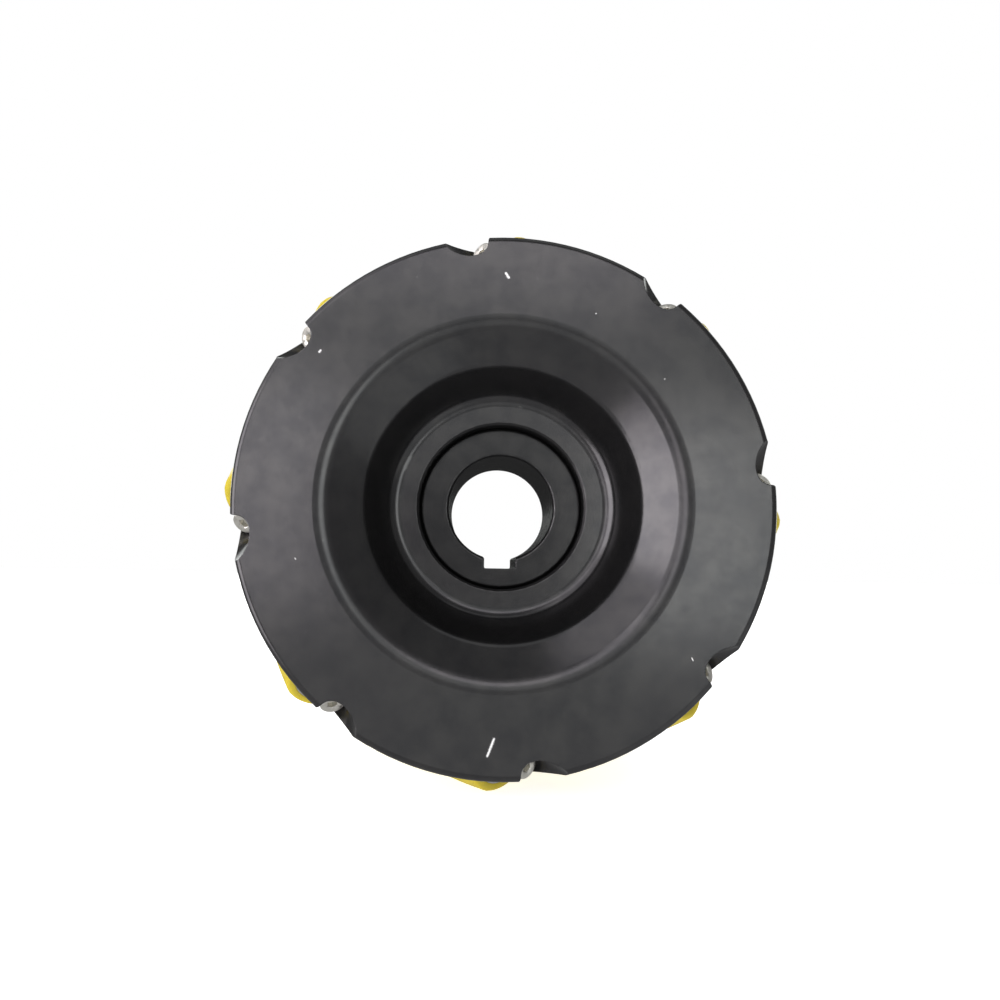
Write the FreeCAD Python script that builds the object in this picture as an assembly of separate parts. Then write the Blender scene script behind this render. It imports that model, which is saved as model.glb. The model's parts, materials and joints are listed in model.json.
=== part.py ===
import FreeCAD, Part
import math
import os
from FreeCAD import Vector

# A 203 mm mecanum wheel. The origin is the wheel's centre, the wheel turns about Y, and the outer
# side faces -Y. All lengths are in millimetres and all angles in degrees.

# Wheel
WHEEL_RADIUS = 101.5          # the cylinder that all the treads touch
WHEEL_WIDTH = 100.0
PLATE_RADIUS = 94.0
HALF_WIDTH = WHEEL_WIDTH / 2

# Rollers and where their axles run
ROLLER_COUNT = 8
ROLLER_PITCH_RADIUS = 80.0    # from the wheel's axis to the middle of each axle
ROLLER_TILT = 45.0            # between an axle and the wheel's axis
FIRST_ROLLER_ANGLE = 22.5     # clockwise from +Z, seen from the outer side
ROLLER_HALF_LENGTH = 50.0
TREAD_END_ROUNDING = 1.5
CORE_OUTER_RADIUS = 11.6
CORE_BORE_RADIUS = 8.5
AXLE_RADIUS = 5.0
AXLE_END_CHAMFER = 0.5
AXLE_HALF_LENGTH = 51.0
AXLE_TAP_DEPTH = 15.0

# Ball bearings, 10 x 19 x 5
BEARING_RADIUS = 9.5
BEARING_WIDTH = 5.0
BEARING_OUTER_FACE = 49.5     # along the axle from the roller's middle
INNER_RING_RADIUS = 6.35
OUTER_RING_BORE = 8.15
BALL_RADIUS = 1.2
BALL_GROOVE_RADIUS = 1.25
BALL_PITCH_RADIUS = 7.25
BALL_COUNT = 10
CAGE_HALF_WIDTH = 1.3
CAGE_HALF_THICKNESS = 0.3
SEAL_THICKNESS = 0.4
SEAL_INSET = 0.1
SEAL_RUNNING_GAP = 0.1
SPACER_RADIUS = 6.3
THRUST_WASHER_RADIUS = 6.2

# Fits, each on the radius
SLIP_FIT = 0.03
PLATE_BORE_GAP = 0.1
POCKET_GAP = 1.2

# Side plates, as radius and depth from the plate's outer face
DISH_DEPTH = 23.5
RIM_WIDTH = 17.0
RIM_EDGE_ROUNDING = 2.5
RIM_BACK_ROUNDING = 0.8
BORE_CHAMFER = 0.8
FRONT_DISH = [(40.95, DISH_DEPTH, 5.1), (49.6, 8.4, 5.0), (62.5, 0.0, 10.0)]
REAR_DISH = [(51.5, DISH_DEPTH, 3.0), (56.0, 9.0, 5.0), (66.0, 0.0, 8.0)]
DRUM_RADIUS = 54.0
DRUM_END = 20.0               # along Y from the wheel's centre
RIM_WEB_RADIUS = 66.0
WEB_ROUNDING = 3.0

# Axle screws, M5 with low heads, in counterbores that break out through the rim
SCREW_SEAT = 56.5             # along the axle from the roller's middle
COUNTERBORE_RADIUS = 6.4
COUNTERBORE_LENGTH = 26.0
SCREW_RADIUS = 2.5
SCREW_HOLE_RADIUS = 2.75
SCREW_HEAD_RADIUS = 4.25
SCREW_HEAD_HEIGHT = 3.5
SCREW_HEAD_ROUNDING = 0.5
SCREW_ENGAGEMENT = 12.0
SCREW_SOCKET_ACROSS_FLATS = 3.0
SCREW_SOCKET_DEPTH = 2.0
SCREW_WASHER_RADIUS = 4.6
SCREW_WASHER_THICKNESS = 1.2

# Hub
HUB_RADIUS = 31.0
HUB_HALF_LENGTH = 20.0
HUB_CHAMFER = 1.0
HUB_BORE_RADIUS = 20.0
HUB_BORE_CHAMFER = 0.8
FLANGE_HALF_WIDTH = 8.0
KEYWAY_WIDTH = 12.0
KEYWAY_DEPTH = 3.3
KEYWAY_ROUNDING = 0.6         # in the keyway's bottom corners
KEYWAY_BREAK = 0.5            # on the corners where the keyway meets the bore

# Flange screws, M6 cap screws, and dowel pins
FLANGE_SCREW_COUNT = 8
FLANGE_CIRCLE_RADIUS = 42.0
FLANGE_SCREW_RADIUS = 3.0
FLANGE_HOLE_RADIUS = 3.3
FLANGE_HEAD_RADIUS = 5.0
FLANGE_HEAD_HEIGHT = 6.0
FLANGE_HEAD_ROUNDING = 0.6
FLANGE_SOCKET_ACROSS_FLATS = 5.0
FLANGE_SOCKET_DEPTH = 3.0
FLANGE_SCREW_END = -18.0
FLANGE_TAP_END = -20.0
DOWEL_RADIUS = 3.0
DOWEL_HALF_LENGTH = 16.0
DOWEL_HOLE_HALF_LENGTH = 16.5
DOWEL_CHAMFER = 0.5
DOWEL_ANGLES = [22.5, 202.5]

ORIGIN = Vector(0, 0, 0)
AXIS = Vector(0, 1, 0)
TILT_AXIS = Vector(0, 0, 1)
CAGE_DIRECTION = Vector(1, 0, 0)   # along the cage where a ball starts, so the ball's poles lie inside it
FULL_TURN = 360.0
HEXAGON_SIDES = 6
SOLVING_STEPS = 20            # far more than the tread's radius needs to settle
FLOOR = HALF_WIDTH - DISH_DEPTH
BEARING_MIDDLE = BEARING_OUTER_FACE - BEARING_WIDTH / 2
BEARING_INNER_FACE = BEARING_OUTER_FACE - BEARING_WIDTH
ROLLER_ANGLES = [FIRST_ROLLER_ANGLE + index * FULL_TURN / ROLLER_COUNT for index in range(ROLLER_COUNT)]


def outline_edges(corners):
    """Edges of a closed outline through (radius, height, rounding) corners."""
    points = [Vector(radius, height, 0) for radius, height, rounding in corners]
    joints = []
    for index, corner in enumerate(points):
        rounding = corners[index][2]
        if rounding == 0:
            joints.append((corner, None, corner))
            continue
        back = (points[index - 1] - corner).normalize()
        ahead = (points[(index + 1) % len(points)] - corner).normalize()
        half_angle = back.getAngle(ahead) / 2
        reach = rounding / math.tan(half_angle)
        to_middle = rounding / math.sin(half_angle) - rounding
        middle = corner + (back + ahead).normalize() * to_middle
        joints.append((corner + back * reach, middle, corner + ahead * reach))
    edges = []
    for index, (entry, middle, leave) in enumerate(joints):
        if middle is not None:
            edges.append(Part.Arc(entry, middle, leave).toShape())
        following = joints[(index + 1) % len(joints)][0]
        edges.append(Part.LineSegment(leave, following).toShape())
    return edges


def turned(edges):
    """The solid that a closed outline sweeps about the Y axis."""
    face = Part.Face(Part.Wire(Part.__sortEdges__(edges)))
    return face.revolve(ORIGIN, AXIS, FULL_TURN)


def rod(radius, start, end):
    """A cylinder along Y."""
    return Part.makeCylinder(radius, end - start, Vector(0, start, 0), AXIS)


def tube(inner_radius, outer_radius, start, end):
    """A plain ring along Y."""
    return rod(outer_radius, start, end).cut(rod(inner_radius, start, end))


def hex_socket(across_flats, start, depth):
    """The hexagonal hole of a socket screw, from start in the +Y direction."""
    corner_radius = across_flats / math.sqrt(3)
    corners = []
    for index in range(HEXAGON_SIDES + 1):
        angle = math.radians(FULL_TURN * index / HEXAGON_SIDES)
        corners.append(Vector(corner_radius * math.cos(angle), start, corner_radius * math.sin(angle)))
    return Part.Face(Part.makePolygon(corners)).extrude(Vector(0, depth, 0))


def cap_screw(radius, length, head_radius, head_height, rounding, across_flats, socket_depth):
    """A socket screw whose head rests at Y = 0 and stands towards -Y, with its shank towards +Y."""
    head = turned(outline_edges([
        (0, 0, 0),
        (0, -head_height, 0),
        (head_radius, -head_height, rounding),
        (head_radius, 0, 0),
    ]))
    shank = turned(outline_edges([
        (0, 0, 0),
        (radius, 0, 0),
        (radius, length - AXLE_END_CHAMFER, 0),
        (radius - AXLE_END_CHAMFER, length, 0),
        (0, length, 0),
    ]))
    socket = hex_socket(across_flats, -head_height, socket_depth)
    return head.cut(socket).fuse(shank).removeSplitter()


def flipped(shape):
    """The same piece facing the other way along Y."""
    turned_over = shape.copy()
    turned_over.rotate(ORIGIN, TILT_AXIS, FULL_TURN / 2)
    return turned_over


def at_height(shape, height):
    """The piece moved along Y."""
    moved = shape.copy()
    moved.translate(Vector(0, height, 0))
    return moved


def around(shape, radius, angle):
    """The piece moved out from the wheel's axis and turned clockwise from +Z."""
    placed = shape.copy()
    placed.translate(Vector(0, 0, radius))
    placed.rotate(ORIGIN, AXIS, angle)
    return placed


def on_axle(shape, angle):
    """The piece, made along Y, moved onto the roller axle at this angle."""
    tilted = shape.copy()
    tilted.rotate(ORIGIN, TILT_AXIS, -ROLLER_TILT)
    return around(tilted, ROLLER_PITCH_RADIUS, angle)


def on_every_axle(shape):
    """One copy of the piece on each roller axle."""
    return [on_axle(shape, angle) for angle in ROLLER_ANGLES]


def roller_radius(distance):
    """Tread radius at a distance from the roller's middle, so that it touches the wheel's cylinder."""
    station = distance
    for step in range(SOLVING_STEPS):
        axle_radius = math.hypot(ROLLER_PITCH_RADIUS, station * math.sin(math.radians(ROLLER_TILT)))
        station = 2 * distance / (1 + WHEEL_RADIUS / axle_radius)
    lean = station / (2 * axle_radius)
    return (WHEEL_RADIUS - axle_radius) * math.sqrt(1 - lean ** 2)


def barrel(half_length, gap):
    """A solid barrel with the tread's curve, grown by a gap."""
    end_radius = roller_radius(ROLLER_HALF_LENGTH) + gap
    low = Vector(end_radius, -half_length, 0)
    high = Vector(end_radius, half_length, 0)
    middle = Vector(roller_radius(0) + gap, 0, 0)
    bottom = Vector(0, -half_length, 0)
    top = Vector(0, half_length, 0)
    return turned([
        Part.Arc(low, middle, high).toShape(),
        Part.LineSegment(high, top).toShape(),
        Part.LineSegment(top, bottom).toShape(),
        Part.LineSegment(bottom, low).toShape(),
    ])


def make_tread():
    """The moulded tread: a barrel with rounded ends and a straight bore."""
    body = barrel(ROLLER_HALF_LENGTH, 0)
    rims = [edge for edge in body.Edges if abs(abs(edge.CenterOfMass.y) - ROLLER_HALF_LENGTH) < SLIP_FIT
            and edge.Length > 2 * CORE_OUTER_RADIUS * math.pi]
    body = body.makeFillet(TREAD_END_ROUNDING, rims)
    return body.cut(rod(CORE_OUTER_RADIUS, -HALF_WIDTH, HALF_WIDTH))


def make_core():
    """The metal tube under the tread, opened at both ends for the bearings."""
    core = tube(CORE_BORE_RADIUS, CORE_OUTER_RADIUS, -ROLLER_HALF_LENGTH, ROLLER_HALF_LENGTH)
    seat_radius = BEARING_RADIUS + SLIP_FIT
    core = core.cut(rod(seat_radius, BEARING_INNER_FACE, ROLLER_HALF_LENGTH))
    return core.cut(rod(seat_radius, -ROLLER_HALF_LENGTH, -BEARING_INNER_FACE))


def make_ball_groove():
    """The ring-shaped space in which the balls run, centred on Y = 0."""
    return Part.makeTorus(BALL_PITCH_RADIUS, BALL_GROOVE_RADIUS, ORIGIN, AXIS)


def make_inner_ring():
    """Bearing inner ring, centred on Y = 0."""
    half = BEARING_WIDTH / 2
    return tube(AXLE_RADIUS + SLIP_FIT, INNER_RING_RADIUS, -half, half).cut(make_ball_groove())


def make_outer_ring():
    """Bearing outer ring, centred on Y = 0."""
    half = BEARING_WIDTH / 2
    return tube(OUTER_RING_BORE, BEARING_RADIUS, -half, half).cut(make_ball_groove())


def make_ball_cage():
    """The balls joined by their cage, centred on Y = 0."""
    inner = BALL_PITCH_RADIUS - CAGE_HALF_THICKNESS
    outer = BALL_PITCH_RADIUS + CAGE_HALF_THICKNESS
    cage = tube(inner, outer, -CAGE_HALF_WIDTH, CAGE_HALF_WIDTH)
    ball = Part.makeSphere(BALL_RADIUS, ORIGIN, CAGE_DIRECTION)
    balls = [around(ball, BALL_PITCH_RADIUS, index * FULL_TURN / BALL_COUNT) for index in range(BALL_COUNT)]
    return cage.multiFuse(balls)


def make_seal(outward):
    """One seal of a bearing centred on Y = 0, on the side that outward names, +1 or -1."""
    far = BEARING_WIDTH / 2 - SEAL_INSET
    ends = sorted([outward * far, outward * (far - SEAL_THICKNESS)])
    return tube(INNER_RING_RADIUS + SEAL_RUNNING_GAP, OUTER_RING_BORE - SLIP_FIT, ends[0], ends[1])


def make_axle():
    """Plain axle with chamfered ends, drilled and tapped at both ends."""
    axle = turned(outline_edges([
        (0, -AXLE_HALF_LENGTH, 0),
        (AXLE_RADIUS - AXLE_END_CHAMFER, -AXLE_HALF_LENGTH, 0),
        (AXLE_RADIUS, -AXLE_HALF_LENGTH + AXLE_END_CHAMFER, 0),
        (AXLE_RADIUS, AXLE_HALF_LENGTH - AXLE_END_CHAMFER, 0),
        (AXLE_RADIUS - AXLE_END_CHAMFER, AXLE_HALF_LENGTH, 0),
        (0, AXLE_HALF_LENGTH, 0),
    ]))
    tap_radius = SCREW_RADIUS + SLIP_FIT
    axle = axle.cut(rod(tap_radius, AXLE_HALF_LENGTH - AXLE_TAP_DEPTH, AXLE_HALF_LENGTH))
    return axle.cut(rod(tap_radius, -AXLE_HALF_LENGTH, AXLE_TAP_DEPTH - AXLE_HALF_LENGTH))


def make_axle_screw():
    """Low-head screw seated on its washer at the axle's -Y end."""
    seat = SCREW_SEAT + SCREW_WASHER_THICKNESS
    length = seat - AXLE_HALF_LENGTH + SCREW_ENGAGEMENT
    screw = cap_screw(SCREW_RADIUS, length, SCREW_HEAD_RADIUS, SCREW_HEAD_HEIGHT, SCREW_HEAD_ROUNDING,
                      SCREW_SOCKET_ACROSS_FLATS, SCREW_SOCKET_DEPTH)
    return at_height(screw, -seat)


def make_screw_washer():
    """Washer under the screw head at the axle's -Y end."""
    return tube(SCREW_HOLE_RADIUS, SCREW_WASHER_RADIUS, -SCREW_SEAT - SCREW_WASHER_THICKNESS, -SCREW_SEAT)


def make_axle_cutter():
    """Everything that one roller and its screws cut out of the two plates."""
    pocket = barrel(AXLE_HALF_LENGTH, POCKET_GAP)
    hole = rod(SCREW_HOLE_RADIUS, -SCREW_SEAT, SCREW_SEAT)
    counterbore = rod(COUNTERBORE_RADIUS, -SCREW_SEAT - COUNTERBORE_LENGTH, -SCREW_SEAT)
    return pocket.multiFuse([hole, counterbore, flipped(counterbore)])


def make_plate(dish, side):
    """A side plate: side is -1 for the outer plate and +1 for the inner one."""
    bore = HUB_RADIUS + PLATE_BORE_GAP
    outline = [
        (bore, FLANGE_HALF_WIDTH, 0),
        (bore, FLOOR - BORE_CHAMFER, 0),
        (bore + BORE_CHAMFER, FLOOR, 0),
    ]
    outline += [(radius, HALF_WIDTH - depth, rounding) for radius, depth, rounding in dish]
    outline += [
        (PLATE_RADIUS, HALF_WIDTH, RIM_EDGE_ROUNDING),
        (PLATE_RADIUS, HALF_WIDTH - RIM_WIDTH, RIM_BACK_ROUNDING),
        (RIM_WEB_RADIUS, HALF_WIDTH - RIM_WIDTH, WEB_ROUNDING),
        (DRUM_RADIUS, DRUM_END, WEB_ROUNDING),
        (DRUM_RADIUS, FLANGE_HALF_WIDTH, 0),
    ]
    plate = turned(outline_edges([(radius, side * height, rounding) for radius, height, rounding in outline]))
    return plate.cut(on_every_axle(make_axle_cutter()))


def flange_places(shape):
    """One copy of the piece at each flange screw."""
    return [around(shape, FLANGE_CIRCLE_RADIUS, index * FULL_TURN / FLANGE_SCREW_COUNT)
            for index in range(FLANGE_SCREW_COUNT)]


def dowel_places(shape):
    """One copy of the piece at each dowel pin."""
    return [around(shape, FLANGE_CIRCLE_RADIUS, angle) for angle in DOWEL_ANGLES]


def make_keyway():
    """The space that the key fills, with rounded bottom corners."""
    reach = HUB_BORE_RADIUS + KEYWAY_DEPTH
    corner = Vector(-KEYWAY_WIDTH / 2, -HUB_HALF_LENGTH, -reach)
    keyway = Part.makeBox(KEYWAY_WIDTH, 2 * HUB_HALF_LENGTH, reach, corner)
    bottom = [edge for edge in keyway.Edges if edge.CenterOfMass.z == -reach
              and edge.Length == 2 * HUB_HALF_LENGTH]
    return keyway.makeFillet(KEYWAY_ROUNDING, bottom)


def make_hub():
    """Flanged sleeve with a keyed bore."""
    hub = turned(outline_edges([
        (0, -HUB_HALF_LENGTH, 0),
        (HUB_RADIUS - HUB_CHAMFER, -HUB_HALF_LENGTH, 0),
        (HUB_RADIUS, -HUB_HALF_LENGTH + HUB_CHAMFER, 0),
        (HUB_RADIUS, -FLANGE_HALF_WIDTH, 0),
        (DRUM_RADIUS, -FLANGE_HALF_WIDTH, 0),
        (DRUM_RADIUS, FLANGE_HALF_WIDTH, 0),
        (HUB_RADIUS, FLANGE_HALF_WIDTH, 0),
        (HUB_RADIUS, HUB_HALF_LENGTH - HUB_CHAMFER, 0),
        (HUB_RADIUS - HUB_CHAMFER, HUB_HALF_LENGTH, 0),
        (0, HUB_HALF_LENGTH, 0),
    ]))
    wide = HUB_BORE_RADIUS + HUB_BORE_CHAMFER
    inner_end = HUB_HALF_LENGTH - HUB_BORE_CHAMFER
    bore = turned(outline_edges([
        (0, -HUB_HALF_LENGTH, 0),
        (wide, -HUB_HALF_LENGTH, 0),
        (HUB_BORE_RADIUS, -inner_end, 0),
        (HUB_BORE_RADIUS, inner_end, 0),
        (wide, HUB_HALF_LENGTH, 0),
        (0, HUB_HALF_LENGTH, 0),
    ]))
    screw_hole = rod(FLANGE_HOLE_RADIUS, -FLANGE_HALF_WIDTH, FLANGE_HALF_WIDTH)
    dowel_hole = rod(DOWEL_RADIUS + SLIP_FIT, -FLANGE_HALF_WIDTH, FLANGE_HALF_WIDTH)
    hub = hub.cut([bore, make_keyway()] + flange_places(screw_hole) + dowel_places(dowel_hole))
    half_width = KEYWAY_WIDTH / 2
    lip = math.sqrt(HUB_BORE_RADIUS ** 2 - half_width ** 2)
    lips = [edge for edge in hub.Edges if edge.Length > 2 * inner_end - SLIP_FIT
            and abs(abs(edge.CenterOfMass.x) - half_width) < SLIP_FIT
            and abs(edge.CenterOfMass.z + lip) < SLIP_FIT]
    return hub.makeChamfer(KEYWAY_BREAK, lips)


def make_flange_screw():
    """Cap screw with its head on the inner plate's floor and its tip in the outer plate."""
    screw = cap_screw(FLANGE_SCREW_RADIUS, FLOOR - FLANGE_SCREW_END, FLANGE_HEAD_RADIUS, FLANGE_HEAD_HEIGHT,
                      FLANGE_HEAD_ROUNDING, FLANGE_SOCKET_ACROSS_FLATS, FLANGE_SOCKET_DEPTH)
    return at_height(flipped(screw), FLOOR)


def make_dowel():
    """Dowel pin with chamfered ends."""
    narrow = DOWEL_RADIUS - DOWEL_CHAMFER
    shoulder = DOWEL_HALF_LENGTH - DOWEL_CHAMFER
    return turned(outline_edges([
        (0, -DOWEL_HALF_LENGTH, 0),
        (narrow, -DOWEL_HALF_LENGTH, 0),
        (DOWEL_RADIUS, -shoulder, 0),
        (DOWEL_RADIUS, shoulder, 0),
        (narrow, DOWEL_HALF_LENGTH, 0),
        (0, DOWEL_HALF_LENGTH, 0),
    ]))


def make_front_plate():
    """Outer plate, with blind tapped holes and blind dowel holes in its mating face."""
    tapped = rod(FLANGE_SCREW_RADIUS + SLIP_FIT, FLANGE_TAP_END, -FLANGE_HALF_WIDTH)
    dowel_hole = rod(DOWEL_RADIUS + SLIP_FIT, -DOWEL_HOLE_HALF_LENGTH, -FLANGE_HALF_WIDTH)
    return make_plate(FRONT_DISH, -1).cut(flange_places(tapped) + dowel_places(dowel_hole))


def make_rear_plate():
    """Inner plate, with through holes for the flange screws and blind dowel holes."""
    through = rod(FLANGE_HOLE_RADIUS, FLANGE_HALF_WIDTH, FLOOR)
    dowel_hole = rod(DOWEL_RADIUS + SLIP_FIT, FLANGE_HALF_WIDTH, DOWEL_HOLE_HALF_LENGTH)
    return make_plate(REAR_DISH, 1).cut(flange_places(through) + dowel_places(dowel_hole))


def both_ends(shape):
    """A piece made at the axle's -Y end and its partner at the +Y end."""
    return [shape, flipped(shape)]


def in_bearings(shape):
    """A bearing part, made centred on Y = 0, in both bearings of a roller."""
    return both_ends(at_height(shape, -BEARING_MIDDLE))


def placed_on(shapes, angle):
    """A group of separate solids on the axle at this angle."""
    return Part.makeCompound([on_axle(shape, angle) for shape in shapes])


def placed_on_all(shapes):
    """A group of separate solids on all the axles."""
    solids = []
    for shape in shapes:
        solids += on_every_axle(shape)
    return Part.makeCompound(solids)


def export(name, shape):
    """Writes one node, as a single solid where it holds only one."""
    if len(shape.Solids) == 1:
        shape = shape.Solids[0]
    shape.exportStep(f"parts/{name}.step")


def export_wheel_frame():
    """The plates, the hub and their fasteners."""
    export("front_plate", make_front_plate())
    export("rear_plate", make_rear_plate())
    export("hub_sleeve", make_hub())
    export("hub_flange_screws", Part.makeCompound(flange_places(make_flange_screw())))
    export("hub_dowel_pins", Part.makeCompound(dowel_places(make_dowel())))
    axle_screw = make_axle_screw()
    export("axle_screws_front", placed_on_all([axle_screw]))
    export("axle_screws_rear", placed_on_all([flipped(axle_screw)]))
    export("axle_screw_washers", placed_on_all(both_ends(make_screw_washer())))


def export_axles():
    """The axles and the pieces that stay still on them."""
    axle = make_axle()
    for number, angle in enumerate(ROLLER_ANGLES, start=1):
        export(f"axle_{number}", on_axle(axle, angle))
    spacer = tube(AXLE_RADIUS + SLIP_FIT, SPACER_RADIUS, -BEARING_INNER_FACE, BEARING_INNER_FACE)
    thrust_washer = tube(AXLE_RADIUS + SLIP_FIT, THRUST_WASHER_RADIUS, -AXLE_HALF_LENGTH, -BEARING_OUTER_FACE)
    export("bearing_inner_rings", placed_on_all(in_bearings(make_inner_ring())))
    export("bearing_spacer_sleeves", placed_on_all([spacer]))
    export("thrust_washers", placed_on_all(both_ends(thrust_washer)))


def export_rollers():
    """The pieces that turn on each axle."""
    tread = make_tread()
    core = make_core()
    outer_rings = in_bearings(make_outer_ring())
    cages = in_bearings(make_ball_cage())
    seals = in_bearings(make_seal(1)) + in_bearings(make_seal(-1))
    for number, angle in enumerate(ROLLER_ANGLES, start=1):
        export(f"roller_{number}_tread", on_axle(tread, angle))
        export(f"roller_{number}_core", on_axle(core, angle))
        export(f"roller_{number}_outer_rings", placed_on(outer_rings, angle))
        export(f"roller_{number}_ball_cages", placed_on(cages, angle))
        export(f"roller_{number}_seals", placed_on(seals, angle))


os.makedirs("parts", exist_ok=True)
export_wheel_frame()
export_axles()
export_rollers()
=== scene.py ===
"""A mecanum wheel's looks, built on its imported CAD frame.

Lengths are in metres. The wheel turns about Y, its outer side faces -Y and it stands on the floor.
"""
import json
import math
import bmesh
import bpy
from mathutils import Matrix, Vector


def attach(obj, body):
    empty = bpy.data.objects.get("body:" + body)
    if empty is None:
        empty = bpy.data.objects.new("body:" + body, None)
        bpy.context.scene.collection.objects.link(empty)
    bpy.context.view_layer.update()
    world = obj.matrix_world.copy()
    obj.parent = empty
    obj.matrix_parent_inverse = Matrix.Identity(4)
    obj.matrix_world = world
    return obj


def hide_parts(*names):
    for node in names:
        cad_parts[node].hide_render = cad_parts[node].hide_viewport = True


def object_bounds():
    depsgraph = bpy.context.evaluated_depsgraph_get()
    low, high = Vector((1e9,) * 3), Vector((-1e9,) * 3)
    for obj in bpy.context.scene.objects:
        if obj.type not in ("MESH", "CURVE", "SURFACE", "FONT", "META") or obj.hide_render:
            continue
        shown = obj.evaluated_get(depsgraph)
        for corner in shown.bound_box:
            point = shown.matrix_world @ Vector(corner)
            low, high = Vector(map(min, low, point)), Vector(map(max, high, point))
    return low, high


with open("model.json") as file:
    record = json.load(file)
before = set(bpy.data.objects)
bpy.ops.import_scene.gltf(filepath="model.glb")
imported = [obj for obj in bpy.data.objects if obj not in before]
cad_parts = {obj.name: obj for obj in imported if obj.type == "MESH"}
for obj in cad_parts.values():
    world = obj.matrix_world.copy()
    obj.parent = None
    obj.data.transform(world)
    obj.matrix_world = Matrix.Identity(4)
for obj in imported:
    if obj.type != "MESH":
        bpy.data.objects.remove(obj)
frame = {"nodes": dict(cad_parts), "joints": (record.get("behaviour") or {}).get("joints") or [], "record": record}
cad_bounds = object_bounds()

MM = 0.001
FULL_TURN = 2 * math.pi

# The roller axles, from the frame's own joints
JOINTS = sorted(frame["joints"], key=lambda joint: joint["name"])

# Treads
TREAD_MIDDLE_RADIUS = 21.5 * MM
TREAD_END_RADIUS = 14.6 * MM
TREAD_HALF_LENGTH = 50.0 * MM
TREAD_BORE = 11.6 * MM
TREAD_EDGE = 1.5 * MM
TREAD_LIP = 0.4 * MM
TREAD_STATIONS = 48
TREAD_SIDES = 144
TREAD_EDGE_STEPS = 8
SEAM_HEIGHT = 0.10 * MM
SEAM_SHARPNESS = 900
SEAM_CLEAR_OF_BORE = 1.0 * MM
TREAD_CREASE = 50            # degrees, over which an edge stays crisp
AXLE_PLACE = "axle_place"    # each point's place on its own tread, where Y is the axle

# Socket screws
AXLE_SEAT = 57.7 * MM
AXLE_HEAD_RADIUS = 4.25 * MM
AXLE_HEAD_HEIGHT = 3.5 * MM
AXLE_SHANK_RADIUS = 2.5 * MM
AXLE_SHANK_LENGTH = 18.0 * MM
AXLE_SOCKET = 3.0 * MM
AXLE_SOCKET_DEPTH = 2.0 * MM
FLANGE_SEAT = 26.5 * MM
FLANGE_CIRCLE = 42.0 * MM
FLANGE_COUNT = 8
FLANGE_HEAD_RADIUS = 5.0 * MM
FLANGE_HEAD_HEIGHT = 6.0 * MM
FLANGE_SHANK_RADIUS = 3.0 * MM
FLANGE_SHANK_LENGTH = 44.0 * MM
FLANGE_SOCKET = 5.0 * MM
FLANGE_SOCKET_DEPTH = 3.0 * MM
AXLE_SCREW_TURN = 23         # degrees that each screw is turned past the one before it
FLANGE_SCREW_TURN = 31
HEAD_ROUNDING = 0.5 * MM
HEAD_ROUNDING_STEPS = 5
HEAD_FOOT_CHAMFER = (0.20 * MM, 0.35 * MM)
KNURL_TOP_MARGIN = 0.75 * MM
KNURL_DEPTH = 0.12 * MM
KNURL_COUNT = 36
SIDES_PER_KNURL = 4
KNURL_VALLEY = (2, 3)
SCREW_TIP = 0.6 * MM
SCREW_TIP_SHARE = 0.75
SOCKET_CORNERS = 6
SOCKET_COUNTERSINK = 0.25 * MM
SOCKET_INNER_SHARE = 0.9
SOCKET_FLOOR_CONE = 0.4 * MM
SCREW_CREASE = 32


# ---------------------------------------------------------------- node materials

NOISE_MIDDLE = (0.3, 0.7)    # most values of a noise lie between these
BEVEL_SAMPLES = 6
WORN_EDGE_FACING = (0.995, 0.90)
NICK_REACH = 1.0 * MM        # how far behind the outer face a nick can show

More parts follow.
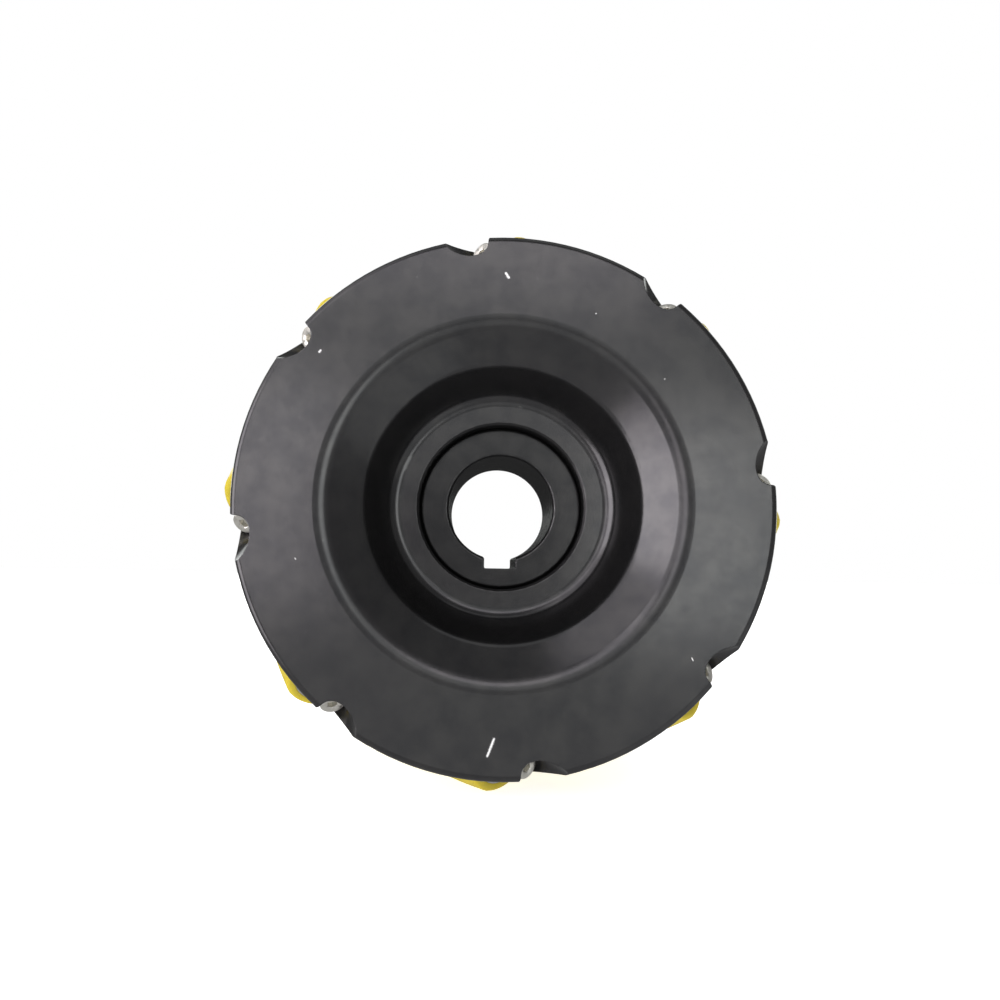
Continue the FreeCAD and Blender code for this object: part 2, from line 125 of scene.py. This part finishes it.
class Shader:
    """A node material round one Principled shader."""

    def __init__(self, name):
        self.material = bpy.data.materials.new(name)
        self.material.use_nodes = True
        self.nodes = self.material.node_tree.nodes
        self.links = self.material.node_tree.links
        self.nodes.clear()
        self.surface = self.nodes.new("ShaderNodeBsdfPrincipled")
        output = self.nodes.new("ShaderNodeOutputMaterial")
        self.links.new(self.surface.outputs[0], output.inputs["Surface"])
        self.place = self.nodes.new("ShaderNodeTexCoord").outputs["Object"]

    def feed(self, socket, value):
        """Sets a socket to a number or colour, or links another socket to it."""
        if isinstance(value, bpy.types.NodeSocket):
            self.links.new(value, socket)
        else:
            socket.default_value = value

    def set(self, **values):
        """Feeds the shader's own sockets, named with _ for each space."""
        for name, value in values.items():
            self.feed(self.surface.inputs[name.replace("_", " ")], value)
        return self

    def math(self, operation, a, b=0.0, c=0.0, clamp=False):
        node = self.nodes.new("ShaderNodeMath")
        node.operation = operation
        node.use_clamp = clamp
        for socket, value in zip(node.inputs, (a, b, c)):
            self.feed(socket, value)
        return node.outputs[0]

    def vector(self, operation, a, b=(0, 0, 0)):
        node = self.nodes.new("ShaderNodeVectorMath")
        node.operation = operation
        self.feed(node.inputs[0], a)
        self.feed(node.inputs[1], b)
        if operation in ("LENGTH", "DOT_PRODUCT", "DISTANCE"):
            return node.outputs["Value"]
        return node.outputs[0]

    def attribute(self, name):
        """A vector that the mesh holds at each of its points."""
        node = self.nodes.new("ShaderNodeAttribute")
        node.attribute_name = name
        return node.outputs["Vector"]

    def split(self, vector):
        node = self.nodes.new("ShaderNodeSeparateXYZ")
        self.feed(node.inputs[0], vector)
        return node.outputs

    def join(self, x, y, z):
        node = self.nodes.new("ShaderNodeCombineXYZ")
        for socket, value in zip(node.inputs, (x, y, z)):
            self.feed(socket, value)
        return node.outputs[0]

    def noise(self, size, detail=2.0, roughness=0.5, place=None, distortion=0.0):
        """Noise, from 0 to 1, whose largest spots are about size metres across."""
        node = self.nodes.new("ShaderNodeTexNoise")
        self.feed(node.inputs["Vector"], place or self.place)
        node.inputs["Scale"].default_value = 1 / size
        node.inputs["Detail"].default_value = detail
        node.inputs["Roughness"].default_value = roughness
        node.inputs["Distortion"].default_value = distortion
        return node.outputs["Fac"]

    def cells(self, size, place=None):
        """Distance to the nearest of many scattered points, in units of their spacing."""
        node = self.nodes.new("ShaderNodeTexVoronoi")
        self.feed(node.inputs["Vector"], place or self.place)
        node.inputs["Scale"].default_value = 1 / size
        return node.outputs["Distance"]

    def span(self, value, low, high, to_low=0.0, to_high=1.0):
        """Maps low..high smoothly to to_low..to_high, held at both ends."""
        node = self.nodes.new("ShaderNodeMapRange")
        node.interpolation_type = "SMOOTHSTEP"
        for socket, given in zip(node.inputs, (value, low, high, to_low, to_high)):
            self.feed(socket, given)
        return node.outputs["Result"]

    def blend(self, amount, a, b):
        """Colour a where amount is 0 and b where it is 1."""
        node = self.nodes.new("ShaderNodeMix")
        node.data_type = "RGBA"
        self.feed(node.inputs["Factor"], amount)
        for name, value in (("A", a), ("B", b)):
            socket = [item for item in node.inputs if item.name == name and item.type == "RGBA"][0]
            self.feed(socket, value if isinstance(value, bpy.types.NodeSocket) else (*value, 1.0))
        return [item for item in node.outputs if item.type == "RGBA"][0]

    def bump(self, height, distance, normal=None):
        """A normal bent by a height, where height 1 stands distance metres proud."""
        node = self.nodes.new("ShaderNodeBump")
        node.inputs["Distance"].default_value = distance
        self.feed(node.inputs["Height"], height)
        if normal is not None:
            self.feed(node.inputs["Normal"], normal)
        return node.outputs["Normal"]

    def soft_edges(self, radius):
        """A normal that rounds sharp edges over this radius."""
        node = self.nodes.new("ShaderNodeBevel")
        node.samples = BEVEL_SAMPLES
        node.inputs["Radius"].default_value = radius
        return node.outputs["Normal"]

    def edge_wear(self, radius):
        """1 on worn sharp edges and 0 elsewhere."""
        geometry = self.nodes.new("ShaderNodeNewGeometry")
        facing = self.vector("DOT_PRODUCT", self.soft_edges(radius), geometry.outputs["Normal"])
        ragged = self.noise(1.5 * MM, detail=4.0)
        edge = self.span(facing, *WORN_EDGE_FACING)
        return self.math("MULTIPLY", edge, self.span(ragged, 0.42, 0.62), clamp=True)

    def about_wheel_axis(self):
        """A place that is the same all round the wheel's axis: radius and height only."""
        x, y, z = self.split(self.place)
        radius = self.vector("LENGTH", self.join(x, 0.0, z))
        return self.join(radius, y, 0.0)

    def mark(self, start, end, width):
        """1 on a short straight scratch on the plate's outer face, given by two (x, z) points."""
        x, y, z = self.split(self.place)
        here = self.join(x, 0.0, z)
        origin = Vector((start[0], 0, start[1]))
        along = Vector((end[0], 0, end[1])) - origin
        offset = self.vector("SUBTRACT", here, tuple(origin))
        share = self.math("DIVIDE", self.vector("DOT_PRODUCT", offset, tuple(along)), along.length_squared)
        share = self.math("MINIMUM", self.math("MAXIMUM", share, 0.0), 1.0)
        nearest = self.vector("SCALE", tuple(along))
        self.feed(nearest.node.inputs["Scale"], share)
        distance = self.vector("DISTANCE", offset, nearest)
        ragged = self.noise(0.5 * MM, 3.0)
        reach = self.math("MULTIPLY", ragged, width)
        on_face = self.math("LESS_THAN", y, cad_bounds[0][1] + NICK_REACH)
        return self.math("MULTIPLY", self.span(distance, reach, 0.0), on_face, clamp=True)

    def any_of(self, masks):
        """1 where any of the masks is."""
        total = masks[0]
        for mask in masks[1:]:
            total = self.math("MAXIMUM", total, mask)
        return total


FLOOR_GLOW = 0.80
FLOOR_GLOW_RISE = (0.15, 1.6)
FLOOR_WHITE = (0.86, 0.86, 0.86, 1.0)
PURE_WHITE = (1.0, 1.0, 1.0, 1.0)
PLATE_DARK = (0.060, 0.060, 0.063)
PLATE_LIGHT = (0.078, 0.077, 0.078)
PLATE_CLOUD = (0.085, 0.080, 0.082)
HUB_DARK = (0.048, 0.048, 0.050)
HUB_LIGHT = (0.064, 0.063, 0.064)
ANODISED_METALLIC = 0.92
NICK_METALLIC_CHANGE = -0.80
WORN_ALUMINIUM = (0.34, 0.34, 0.34)
BARE_ALUMINIUM = (0.86, 0.86, 0.86)
TREAD_DARK = (0.43, 0.335, 0.006)
TREAD_LIGHT = (0.50, 0.400, 0.012)
TREAD_SCUFFED = (0.22, 0.19, 0.09)
TREAD_DUSTED = (0.48, 0.43, 0.24)
TREAD_SCUFF_STRETCH = 0.25
TREAD_CONTACT = (46 * MM, 20 * MM)    # along the axle, where wear from the ground starts and is full
METAL_GRIME = (0.16, 0.13, 0.09)
METAL_DULLNESS = (0.8, 1.25)          # least and greatest share of a metal's given roughness
RUBBER_DARK = (0.012, 0.012, 0.012)
RUBBER_LIGHT = (0.030, 0.029, 0.028)

# Nicks in the outer face: two (x, z) ends and the width of each
NICKS = [
    ((-2.3 * MM, -79.5 * MM), (-4.4 * MM, -85.0 * MM), 1.3 * MM),
    ((-0.5 * MM, 80.0 * MM), (0.5 * MM, 78.5 * MM), 1.4 * MM),
    ((-64.5 * MM, 51.0 * MM), (-64.9 * MM, 50.5 * MM), 1.1 * MM),
    ((63.5 * MM, -52.0 * MM), (63.9 * MM, -52.9 * MM), 0.6 * MM),
    ((31.0 * MM, 66.0 * MM), (31.3 * MM, 66.1 * MM), 0.45 * MM),
    ((-70.5 * MM, -21.0 * MM), (-70.2 * MM, -21.4 * MM), 0.45 * MM),
    ((55.0 * MM, 43.0 * MM), (55.2 * MM, 43.3 * MM), 0.4 * MM),
]


def anodised_plate():
    """Dark satin anodised aluminium, bead blasted, with a few nicks in its outer face."""
    shader = Shader("anodised_plate")
    mottle = shader.noise(9 * MM, detail=6.0, roughness=0.62)
    cloud = shader.noise(60 * MM, detail=3.0)
    colour = shader.blend(shader.span(mottle, *NOISE_MIDDLE), PLATE_DARK, PLATE_LIGHT)
    clouded = shader.math("MULTIPLY", shader.span(cloud, 0.35, 0.75), 0.2)
    colour = shader.blend(clouded, colour, PLATE_CLOUD)
    specks = shader.span(shader.cells(6.5 * MM), 0.045, 0.015)
    colour = shader.blend(shader.math("MULTIPLY", specks, 0.35), colour, WORN_ALUMINIUM)
    colour = shader.blend(shader.math("MULTIPLY", shader.edge_wear(0.35 * MM), 0.5), colour, WORN_ALUMINIUM)
    nicks = shader.any_of([shader.mark(*mark) for mark in NICKS])
    colour = shader.blend(nicks, colour, BARE_ALUMINIUM)
    grain = shader.noise(0.45 * MM, detail=3.0, roughness=0.6)
    ripple = shader.noise(3.5 * MM)
    uneven = shader.noise(5 * MM, detail=5.0, roughness=0.6)
    roughness = shader.span(uneven, *NOISE_MIDDLE, to_low=0.205, to_high=0.235)
    normal = shader.bump(ripple, 0.002 * MM, shader.soft_edges(0.3 * MM))
    normal = shader.bump(grain, 0.009 * MM, normal)
    normal = shader.bump(nicks, -0.05 * MM, normal)
    metallic = shader.math("MULTIPLY_ADD", nicks, NICK_METALLIC_CHANGE, ANODISED_METALLIC)
    return shader.set(Base_Color=colour, Metallic=metallic, Roughness=roughness, Normal=normal).material


def anodised_hub():
    """Dark anodised aluminium with fine turning lines."""
    shader = Shader("anodised_hub")
    mottle = shader.noise(7 * MM, detail=5.0, roughness=0.6)
    colour = shader.blend(shader.span(mottle, *NOISE_MIDDLE), HUB_DARK, HUB_LIGHT)
    colour = shader.blend(shader.math("MULTIPLY", shader.edge_wear(0.35 * MM), 0.6), colour, WORN_ALUMINIUM)
    lines = shader.noise(0.35 * MM, detail=3.0, roughness=0.7, place=shader.about_wheel_axis())
    normal = shader.bump(lines, 0.010 * MM, shader.soft_edges(0.9 * MM))
    normal = shader.bump(shader.noise(0.5 * MM), 0.006 * MM, normal)
    roughness = shader.span(lines, *NOISE_MIDDLE, to_low=0.18, to_high=0.26)
    shader.set(Base_Color=colour, Metallic=ANODISED_METALLIC, Roughness=roughness, Normal=normal)
    return shader.material


def tread_polyurethane():
    """Yellow moulded polyurethane with a faint moulded grain, scuffs and dust."""
    shader = Shader("tread_polyurethane")
    shader.place = shader.attribute(AXLE_PLACE)
    x, y, z = shader.split(shader.place)
    wide_x = shader.math("MULTIPLY", x, TREAD_SCUFF_STRETCH)
    wide_z = shader.math("MULTIPLY", z, TREAD_SCUFF_STRETCH)
    stretched = shader.join(wide_x, y, wide_z)
    cloud = shader.noise(22 * MM, detail=4.0, roughness=0.55)
    colour = shader.blend(shader.span(cloud, *NOISE_MIDDLE), TREAD_DARK, TREAD_LIGHT)
    scuffs = shader.span(shader.noise(1.6 * MM, detail=5.0, roughness=0.7, place=stretched), 0.58, 0.72)
    contact = shader.span(shader.math("ABSOLUTE", y), *TREAD_CONTACT)
    scuffs = shader.math("MULTIPLY", scuffs, shader.math("MULTIPLY_ADD", contact, 0.30, 0.08))
    colour = shader.blend(scuffs, colour, TREAD_SCUFFED)
    dust = shader.span(shader.noise(9 * MM, detail=6.0, roughness=0.7), 0.56, 0.78)
    colour = shader.blend(shader.math("MULTIPLY", dust, 0.22), colour, TREAD_DUSTED)
    uneven = shader.noise(3 * MM, detail=4.0, roughness=0.6)
    roughness = shader.span(uneven, *NOISE_MIDDLE, to_low=0.40, to_high=0.54)
    normal = shader.bump(shader.noise(0.30 * MM, detail=3.0, roughness=0.6), 0.010 * MM)
    normal = shader.bump(shader.noise(4 * MM, detail=3.0), 0.030 * MM, normal)
    shader.set(Base_Color=colour, Roughness=roughness, Normal=normal)
    shader.set(Subsurface_Weight=0.18, Subsurface_Scale=2 * MM, Subsurface_Radius=(1.0, 0.7, 0.15))
    return shader.material


def metal(name, dark, light, roughness, grain, wear=0.0):
    """Bare or plated metal with a slight mottle and fine grain; wear darkens scattered patches."""
    shader = Shader(name)
    mottle = shader.noise(2.5 * MM, detail=5.0, roughness=0.65)
    colour = shader.blend(shader.span(mottle, *NOISE_MIDDLE), dark, light)
    if wear:
        patches = shader.span(shader.noise(1.2 * MM, detail=5.0, roughness=0.7), 0.55, 0.75)
        colour = shader.blend(shader.math("MULTIPLY", patches, wear), colour, METAL_GRIME)
    uneven = shader.noise(1.8 * MM, detail=4.0, roughness=0.6)
    smooth, dull = [roughness * share for share in METAL_DULLNESS]
    shine = shader.span(uneven, *NOISE_MIDDLE, to_low=smooth, to_high=dull)
    fine = shader.noise(grain, detail=3.0, roughness=0.6)
    normal = shader.bump(fine, 0.006 * MM, shader.soft_edges(0.12 * MM))
    return shader.set(Base_Color=colour, Metallic=1.0, Roughness=shine, Normal=normal).material


def seal_rubber():
    """Matt black seal rubber."""
    shader = Shader("seal_rubber")
    mottle = shader.noise(2 * MM, detail=5.0)
    colour = shader.blend(shader.span(mottle, *NOISE_MIDDLE), RUBBER_DARK, RUBBER_LIGHT)
    normal = shader.bump(shader.noise(0.2 * MM, detail=3.0), 0.010 * MM)
    return shader.set(Base_Color=colour, Roughness=0.62, Normal=normal).material


def pale_floor():
    """Plain pale studio floor, which glows white where the studio's lamps no longer reach it."""
    shader = Shader("pale_floor")
    distance = shader.vector("LENGTH", shader.place)
    glow = shader.span(distance, *FLOOR_GLOW_RISE, to_low=FLOOR_GLOW)
    shader.set(Base_Color=FLOOR_WHITE, Roughness=0.75, Specular_IOR_Level=0.0)
    return shader.set(Emission_Color=PURE_WHITE, Emission_Strength=glow).material


# Name, dark and light colour, roughness, grain size and wear
METALS = [
    ("plated_screw", (0.74, 0.72, 0.66), (0.90, 0.88, 0.82), 0.34, 0.25 * MM, 0.25),
    ("black_screw", (0.030, 0.030, 0.032), (0.060, 0.058, 0.056), 0.40, 0.25 * MM),
    ("ground_steel", (0.50, 0.50, 0.49), (0.60, 0.60, 0.60), 0.26, 0.20 * MM),
    ("turned_steel", (0.42, 0.42, 0.42), (0.54, 0.54, 0.54), 0.34, 0.25 * MM),
    ("bearing_steel", (0.62, 0.62, 0.62), (0.72, 0.72, 0.72), 0.16, 0.20 * MM),
    ("roller_core_aluminium", (0.52, 0.52, 0.53), (0.64, 0.64, 0.65), 0.33, 0.25 * MM),
]
MATERIALS = {
    "anodised_plate": anodised_plate(),
    "anodised_hub": anodised_hub(),
    "tread_polyurethane": tread_polyurethane(),
    "seal_rubber": seal_rubber(),
}
MATERIALS.update({given[0]: metal(*given) for given in METALS})


def dress_cad_nodes():
    """Gives each CAD node the material of its record slot."""
    slots = {part["node"]: part["material_slot"] for part in frame["record"]["subparts"]}
    for name, node in frame["nodes"].items():
        material = MATERIALS[slots[name]]
        if not node.material_slots:
            node.data.materials.append(material)
        for slot in node.material_slots:
            slot.material = material


# ---------------------------------------------------------------- mesh building

WELD_DISTANCE = 1e-7


def object_from(build, name, slot):
    """A shaded object from a bmesh, given the material of a record slot."""
    bmesh.ops.remove_doubles(build, verts=build.verts, dist=WELD_DISTANCE)
    bmesh.ops.recalc_face_normals(build, faces=build.faces)
    mesh = bpy.data.meshes.new(name)
    build.to_mesh(mesh)
    build.free()
    mesh.materials.append(MATERIALS[slot])
    mesh.shade_smooth()
    piece = bpy.data.objects.new(name, mesh)
    bpy.context.scene.collection.objects.link(piece)
    return piece


def sharpen(piece, angle):
    """Keeps edges sharper than this angle crisp."""
    piece.data.set_sharp_from_angle(angle=math.radians(angle))


def lathe(build, outline, sides, closed, ripple=None):
    """Turns (radius, height) points about Y. ripple(angle, index) may add to a point's radius."""
    rings = []
    for index, (radius, height) in enumerate(outline):
        if radius == 0:
            rings.append([build.verts.new((0, height, 0))])
            continue
        ring = []
        for side in range(sides):
            angle = FULL_TURN * side / sides
            reach = radius + (ripple(angle, index) if ripple else 0.0)
            ring.append(build.verts.new((reach * math.sin(angle), height, reach * math.cos(angle))))
        rings.append(ring)
    pairs = list(zip(rings, rings[1:]))
    if closed:
        pairs.append((rings[-1], rings[0]))
    for low, high in pairs:
        for side in range(sides):
            following = (side + 1) % sides
            below = [low[side % len(low)], low[following % len(low)]]
            above = [high[following % len(high)], high[side % len(high)]]
            distinct = list(dict.fromkeys(below + above))
            if len(distinct) > 2:
                build.faces.new(distinct)
    return rings


def arc(centre, radius, start, end, steps):
    """(radius, height) points on an arc, with its angles in degrees from the outward direction."""
    points = []
    for step in range(steps + 1):
        angle = math.radians(start + (end - start) * step / steps)
        points.append((centre[0] + radius * math.cos(angle), centre[1] + radius * math.sin(angle)))
    return points


def to_axle(joint):
    """The matrix that carries a piece made about Y onto a roller's axle."""
    axis = Vector(joint["axis"])
    out = Vector(joint["pos_m"]).normalized()
    side = axis.cross(out)
    turn = Matrix((side, axis, out)).transposed().to_4x4()
    return Matrix.Translation(joint["pos_m"]) @ turn


def tread_radius(height):
    """The barrel's radius, an arc through its middle and its ends."""
    drop = TREAD_MIDDLE_RADIUS - TREAD_END_RADIUS
    curve = (TREAD_HALF_LENGTH ** 2 + drop ** 2) / (2 * drop)
    return TREAD_MIDDLE_RADIUS - curve + math.sqrt(curve ** 2 - height ** 2)


def tread_outline():
    """The tread's section: bore, rounded ends and the barrel's curve."""
    reach = TREAD_HALF_LENGTH - TREAD_EDGE
    edge = tread_radius(reach) - TREAD_EDGE
    barrel = []
    for step in range(1, TREAD_STATIONS):
        height = reach * (2 * step / TREAD_STATIONS - 1)
        barrel.append((tread_radius(height), height))
    return (
        [(TREAD_BORE, -TREAD_HALF_LENGTH + TREAD_LIP), (TREAD_BORE + TREAD_LIP, -TREAD_HALF_LENGTH)]
        + arc((edge, -reach), TREAD_EDGE, -90, 0, TREAD_EDGE_STEPS)
        + barrel
        + arc((edge, reach), TREAD_EDGE, 0, 90, TREAD_EDGE_STEPS)
        + [(TREAD_BORE + TREAD_LIP, TREAD_HALF_LENGTH), (TREAD_BORE, TREAD_HALF_LENGTH - TREAD_LIP)]
    )


def make_treads():
    """The eight moulded treads, each with the faint seam of its two-part mould."""
    outline = tread_outline()

    def seam(angle, index):
        if outline[index][0] < TREAD_BORE + SEAM_CLEAR_OF_BORE:
            return 0.0
        return SEAM_HEIGHT * (math.exp(-SEAM_SHARPNESS * math.sin(angle) ** 2) - 1)

    for joint in JOINTS:
        body = joint["child"]
        build = bmesh.new()
        lathe(build, outline, TREAD_SIDES, True, seam)
        place = build.verts.layers.float_vector.new(AXLE_PLACE)
        for vertex in build.verts:
            vertex[place] = vertex.co
        build.transform(to_axle(joint))
        tread = object_from(build, f"{body}_moulded_tread", "tread_polyurethane")
        sharpen(tread, TREAD_CREASE)
        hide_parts(f"{body}_tread")
        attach(tread, body)


def hexagon(across_flats, sides):
    """The radius of a hexagonal hole at each of the lathe's sides."""
    flat = across_flats / 2
    sixth = FULL_TURN / SOCKET_CORNERS
    radii = []
    for side in range(sides):
        angle = (FULL_TURN * side / sides) % sixth - sixth / 2
        radii.append(flat / math.cos(angle))
    return radii


def screw_mesh(build, head_radius, head_height, shank_radius, shank_length, socket, socket_depth):
    """A socket screw seated at Y = 0 with its knurled head towards -Y and its shank towards +Y."""
    sides = KNURL_COUNT * SIDES_PER_KNURL
    hole = hexagon(socket, sides)
    inner = SOCKET_INNER_SHARE * socket / 2
    foot_inset, foot_height = HEAD_FOOT_CHAMFER
    knurl_top = KNURL_TOP_MARGIN - head_height
    floor = socket_depth - head_height
    shank = [(0.0, shank_length), (shank_radius * SCREW_TIP_SHARE, shank_length)]
    shank += [(shank_radius, shank_length - SCREW_TIP), (shank_radius, 0.0)]
    foot = [(head_radius - foot_inset, 0.0), (head_radius, -foot_height)]
    knurl = [(head_radius, -foot_height), (head_radius, knurl_top)]
    crown = [(head_radius, knurl_top)]
    rounding_centre = (head_radius - HEAD_ROUNDING, HEAD_ROUNDING - head_height)
    crown += arc(rounding_centre, HEAD_ROUNDING, 0, -90, HEAD_ROUNDING_STEPS)
    crown += [(max(hole) + SOCKET_COUNTERSINK, -head_height)]
    hexagonal = [(inner, SOCKET_COUNTERSINK - head_height), (inner, floor)]
    outside = shank + foot + knurl + crown
    outline = outside + hexagonal + [(0.0, floor + SOCKET_FLOOR_CONE)]
    knurled = range(len(shank + foot), len(shank + foot + knurl))
    socketed = range(len(outside), len(outside + hexagonal))

    def ripple(angle, index):
        side = round(angle / FULL_TURN * sides) % sides
        if index in socketed:
            return hole[side] - inner
        if index in knurled and side % SIDES_PER_KNURL in KNURL_VALLEY:
            return -KNURL_DEPTH
        return 0.0

    lathe(build, outline, sides, False, ripple)


def screw_group(name, slot, sizes, places):
    """One piece of equal screws, one at each place."""
    whole = bmesh.new()
    for place in places:
        build = bmesh.new()
        screw_mesh(build, *sizes)
        build.transform(place)
        mesh = bpy.data.meshes.new("screw")
        build.to_mesh(mesh)
        build.free()
        whole.from_mesh(mesh)
        bpy.data.meshes.remove(mesh)
    piece = object_from(whole, name, slot)
    sharpen(piece, SCREW_CREASE)
    return piece


def make_axle_screws():
    """The low-headed screws that hold the axles, one group at each side of the wheel."""
    sizes = (AXLE_HEAD_RADIUS, AXLE_HEAD_HEIGHT, AXLE_SHANK_RADIUS, AXLE_SHANK_LENGTH,
             AXLE_SOCKET, AXLE_SOCKET_DEPTH)
    for name, half_turn in (("axle_screws_front", 0), ("axle_screws_rear", math.pi)):
        facing = Matrix.Rotation(half_turn, 4, "Z")
        places = []
        for number, joint in enumerate(JOINTS):
            tightened = Matrix.Rotation(math.radians(AXLE_SCREW_TURN * number), 4, "Y")
            seated = Matrix.Translation((0, -AXLE_SEAT, 0)) @ tightened
            places.append(to_axle(joint) @ facing @ seated)
        piece = screw_group(f"{name}_socket_head", "plated_screw", sizes, places)
        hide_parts(name)
        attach(piece, "root")


def make_flange_screws():
    """The cap screws in the floor of the inner dish."""
    sizes = (FLANGE_HEAD_RADIUS, FLANGE_HEAD_HEIGHT, FLANGE_SHANK_RADIUS, FLANGE_SHANK_LENGTH,
             FLANGE_SOCKET, FLANGE_SOCKET_DEPTH)
    facing = Matrix.Rotation(math.pi, 4, "Z")
    places = []
    for number in range(FLANGE_COUNT):
        around = Matrix.Rotation(FULL_TURN * number / FLANGE_COUNT, 4, "Y")
        seated = around @ Matrix.Translation((0, FLANGE_SEAT, FLANGE_CIRCLE))
        tightened = Matrix.Rotation(math.radians(FLANGE_SCREW_TURN * number), 4, "Y")
        places.append(seated @ facing @ tightened)
    piece = screw_group("flange_cap_screws", "black_screw", sizes, places)
    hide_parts("hub_flange_screws")
    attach(piece, "root")


# ---------------------------------------------------------------- studio

CAMERA_PLACE = Vector((-10.43 * MM, -281.58 * MM, -23.35 * MM))
CAMERA_TURN = (95.069, -1.006, -0.293)
CAMERA_LENS = 24.583
CAMERA_SHIFT = (0.0241, 0.0076)
SENSOR_WIDTH = 36.0
NEAREST_SEEN = 10 * MM

PANEL_DISTANCE = 3.0
LEFT_TINT = (1.0, 0.955, 0.985)
RIGHT_TINT = (0.970, 1.0, 0.975)
# Name, azimuth, elevation, width and height in degrees, and radiance
PANELS = [
    ("left_window", -59, 0, 38, 50, 2.8),
    ("left_surround", -60, 25, 56, 74, 1.0),
    ("left_front", -21, 6, 18, 20, 2.1),
    ("right_front", 20, 3, 17, 18, 2.4),
    ("upper_front", 2, 17, 44, 18, 0.65),
    ("upper_strip", -8, 31, 46, 13, 2.0),
    ("lower_front", 2, -13, 44, 20, 0.35),
    ("right_low", 55, -30, 50, 40, 0.3),
    ("top", 0, 80, 60, 30, 0.4),
    ("rear_left", 215, 25, 40, 40, 2.2),
    ("rear_right", 140, 20, 40, 40, 1.6),
]


OVERHEAD_STRENGTH = 1.0
OVERHEAD_SPREAD = 80
OVERHEAD_LEAN = -8

# Strength of the surround, as (height or depth of a direction from, to, strength from, to)
SURROUND_BY_HEIGHT = (-0.8, 0.2, 0.42, 0.20)
SURROUND_STRAIGHT_BEHIND = (0.80, 0.97, 1.0, 0.12)

FLOOR_HALF_SIZE = 6.0


def make_camera():
    """A close, nearly square view of the outer side."""
    data = bpy.data.cameras.new("camera")
    data.lens = CAMERA_LENS
    data.sensor_width = SENSOR_WIDTH
    data.shift_x, data.shift_y = CAMERA_SHIFT
    data.clip_start = NEAREST_SEEN
    camera = bpy.data.objects.new("camera", data)
    camera.location = CAMERA_PLACE
    camera.rotation_euler = [math.radians(angle) for angle in CAMERA_TURN]
    bpy.context.scene.collection.objects.link(camera)
    bpy.context.scene.camera = camera


def soft_panel(name, azimuth, elevation, width, height, brightness):
    """A light that fills this window of directions, in degrees; brightness is its radiance.

    Azimuth 0 is in front of the outer side, 90 is to the right.
    """
    turn = math.radians(azimuth)
    rise = math.radians(elevation)
    direction = Vector((math.sin(turn) * math.cos(rise), -math.cos(turn) * math.cos(rise), math.sin(rise)))
    data = bpy.data.lights.new(name, "AREA")
    data.shape = "RECTANGLE"
    data.size = 2 * PANEL_DISTANCE * math.tan(math.radians(width / 2))
    data.size_y = 2 * PANEL_DISTANCE * math.tan(math.radians(height / 2))
    data.energy = brightness * math.pi * data.size * data.size_y
    data.color = LEFT_TINT if azimuth < 0 else RIGHT_TINT
    panel = bpy.data.objects.new(name, data)
    panel.location = direction * PANEL_DISTANCE
    panel.rotation_euler = (-direction).to_track_quat("-Z", "Y").to_euler()
    panel.visible_camera = False
    bpy.context.scene.collection.objects.link(panel)


def make_lights():
    """Soft windows all round, most of them to the left and in front, and a wide overhead light."""
    for panel in PANELS:
        soft_panel(*panel)
    data = bpy.data.lights.new("overhead", "SUN")
    data.energy = OVERHEAD_STRENGTH
    data.angle = math.radians(OVERHEAD_SPREAD)
    overhead = bpy.data.objects.new("overhead", data)
    overhead.rotation_euler = (math.radians(OVERHEAD_LEAN), 0, 0)
    overhead.visible_glossy = False
    bpy.context.scene.collection.objects.link(overhead)


def make_world():
    """White seen directly. As light and reflection it is dim, least so below, and darkest behind."""
    world = bpy.data.worlds.new("studio")
    bpy.context.scene.world = world
    world.use_nodes = True
    nodes = world.node_tree.nodes
    links = world.node_tree.links
    nodes.clear()
    direction = nodes.new("ShaderNodeTexCoord").outputs["Generated"]
    split = nodes.new("ShaderNodeSeparateXYZ")
    links.new(direction, split.inputs[0])
    dimmed = nodes.new("ShaderNodeMath")
    dimmed.operation = "MULTIPLY"
    fades = (("Z", SURROUND_BY_HEIGHT), ("Y", SURROUND_STRAIGHT_BEHIND))
    for factor, (axis, limits) in zip(dimmed.inputs, fades):
        fade = nodes.new("ShaderNodeMapRange")
        for socket, value in zip(fade.inputs[1:], limits):
            socket.default_value = value
        links.new(split.outputs[axis], fade.inputs["Value"])
        links.new(fade.outputs["Result"], factor)
    surround = nodes.new("ShaderNodeBackground")
    links.new(dimmed.outputs[0], surround.inputs["Strength"])
    white = nodes.new("ShaderNodeBackground")
    white.inputs["Strength"].default_value = 1.0
    for background in (surround, white):
        background.inputs["Color"].default_value = PURE_WHITE
    seen = nodes.new("ShaderNodeLightPath")
    mix = nodes.new("ShaderNodeMixShader")
    links.new(seen.outputs["Is Camera Ray"], mix.inputs[0])
    links.new(surround.outputs[0], mix.inputs[1])
    links.new(white.outputs[0], mix.inputs[2])
    output = nodes.new("ShaderNodeOutputWorld")
    links.new(mix.outputs[0], output.inputs["Surface"])


def make_floor():
    """The floor that the wheel stands on."""
    low = cad_bounds[0][2]
    half = FLOOR_HALF_SIZE
    corners = [(-half, -half, low), (half, -half, low), (half, half, low), (-half, half, low)]
    mesh = bpy.data.meshes.new("floor")
    mesh.from_pydata(corners, [], [(0, 1, 2, 3)])
    mesh.materials.append(pale_floor())
    floor = bpy.data.objects.new("floor", mesh)
    floor.visible_glossy = False
    floor.visible_shadow = False
    bpy.context.scene.collection.objects.link(floor)


make_camera()
dress_cad_nodes()
make_treads()
make_axle_screws()
make_flange_screws()
make_floor()
make_lights()
make_world()
bpy.context.scene.view_settings.view_transform = "Standard"
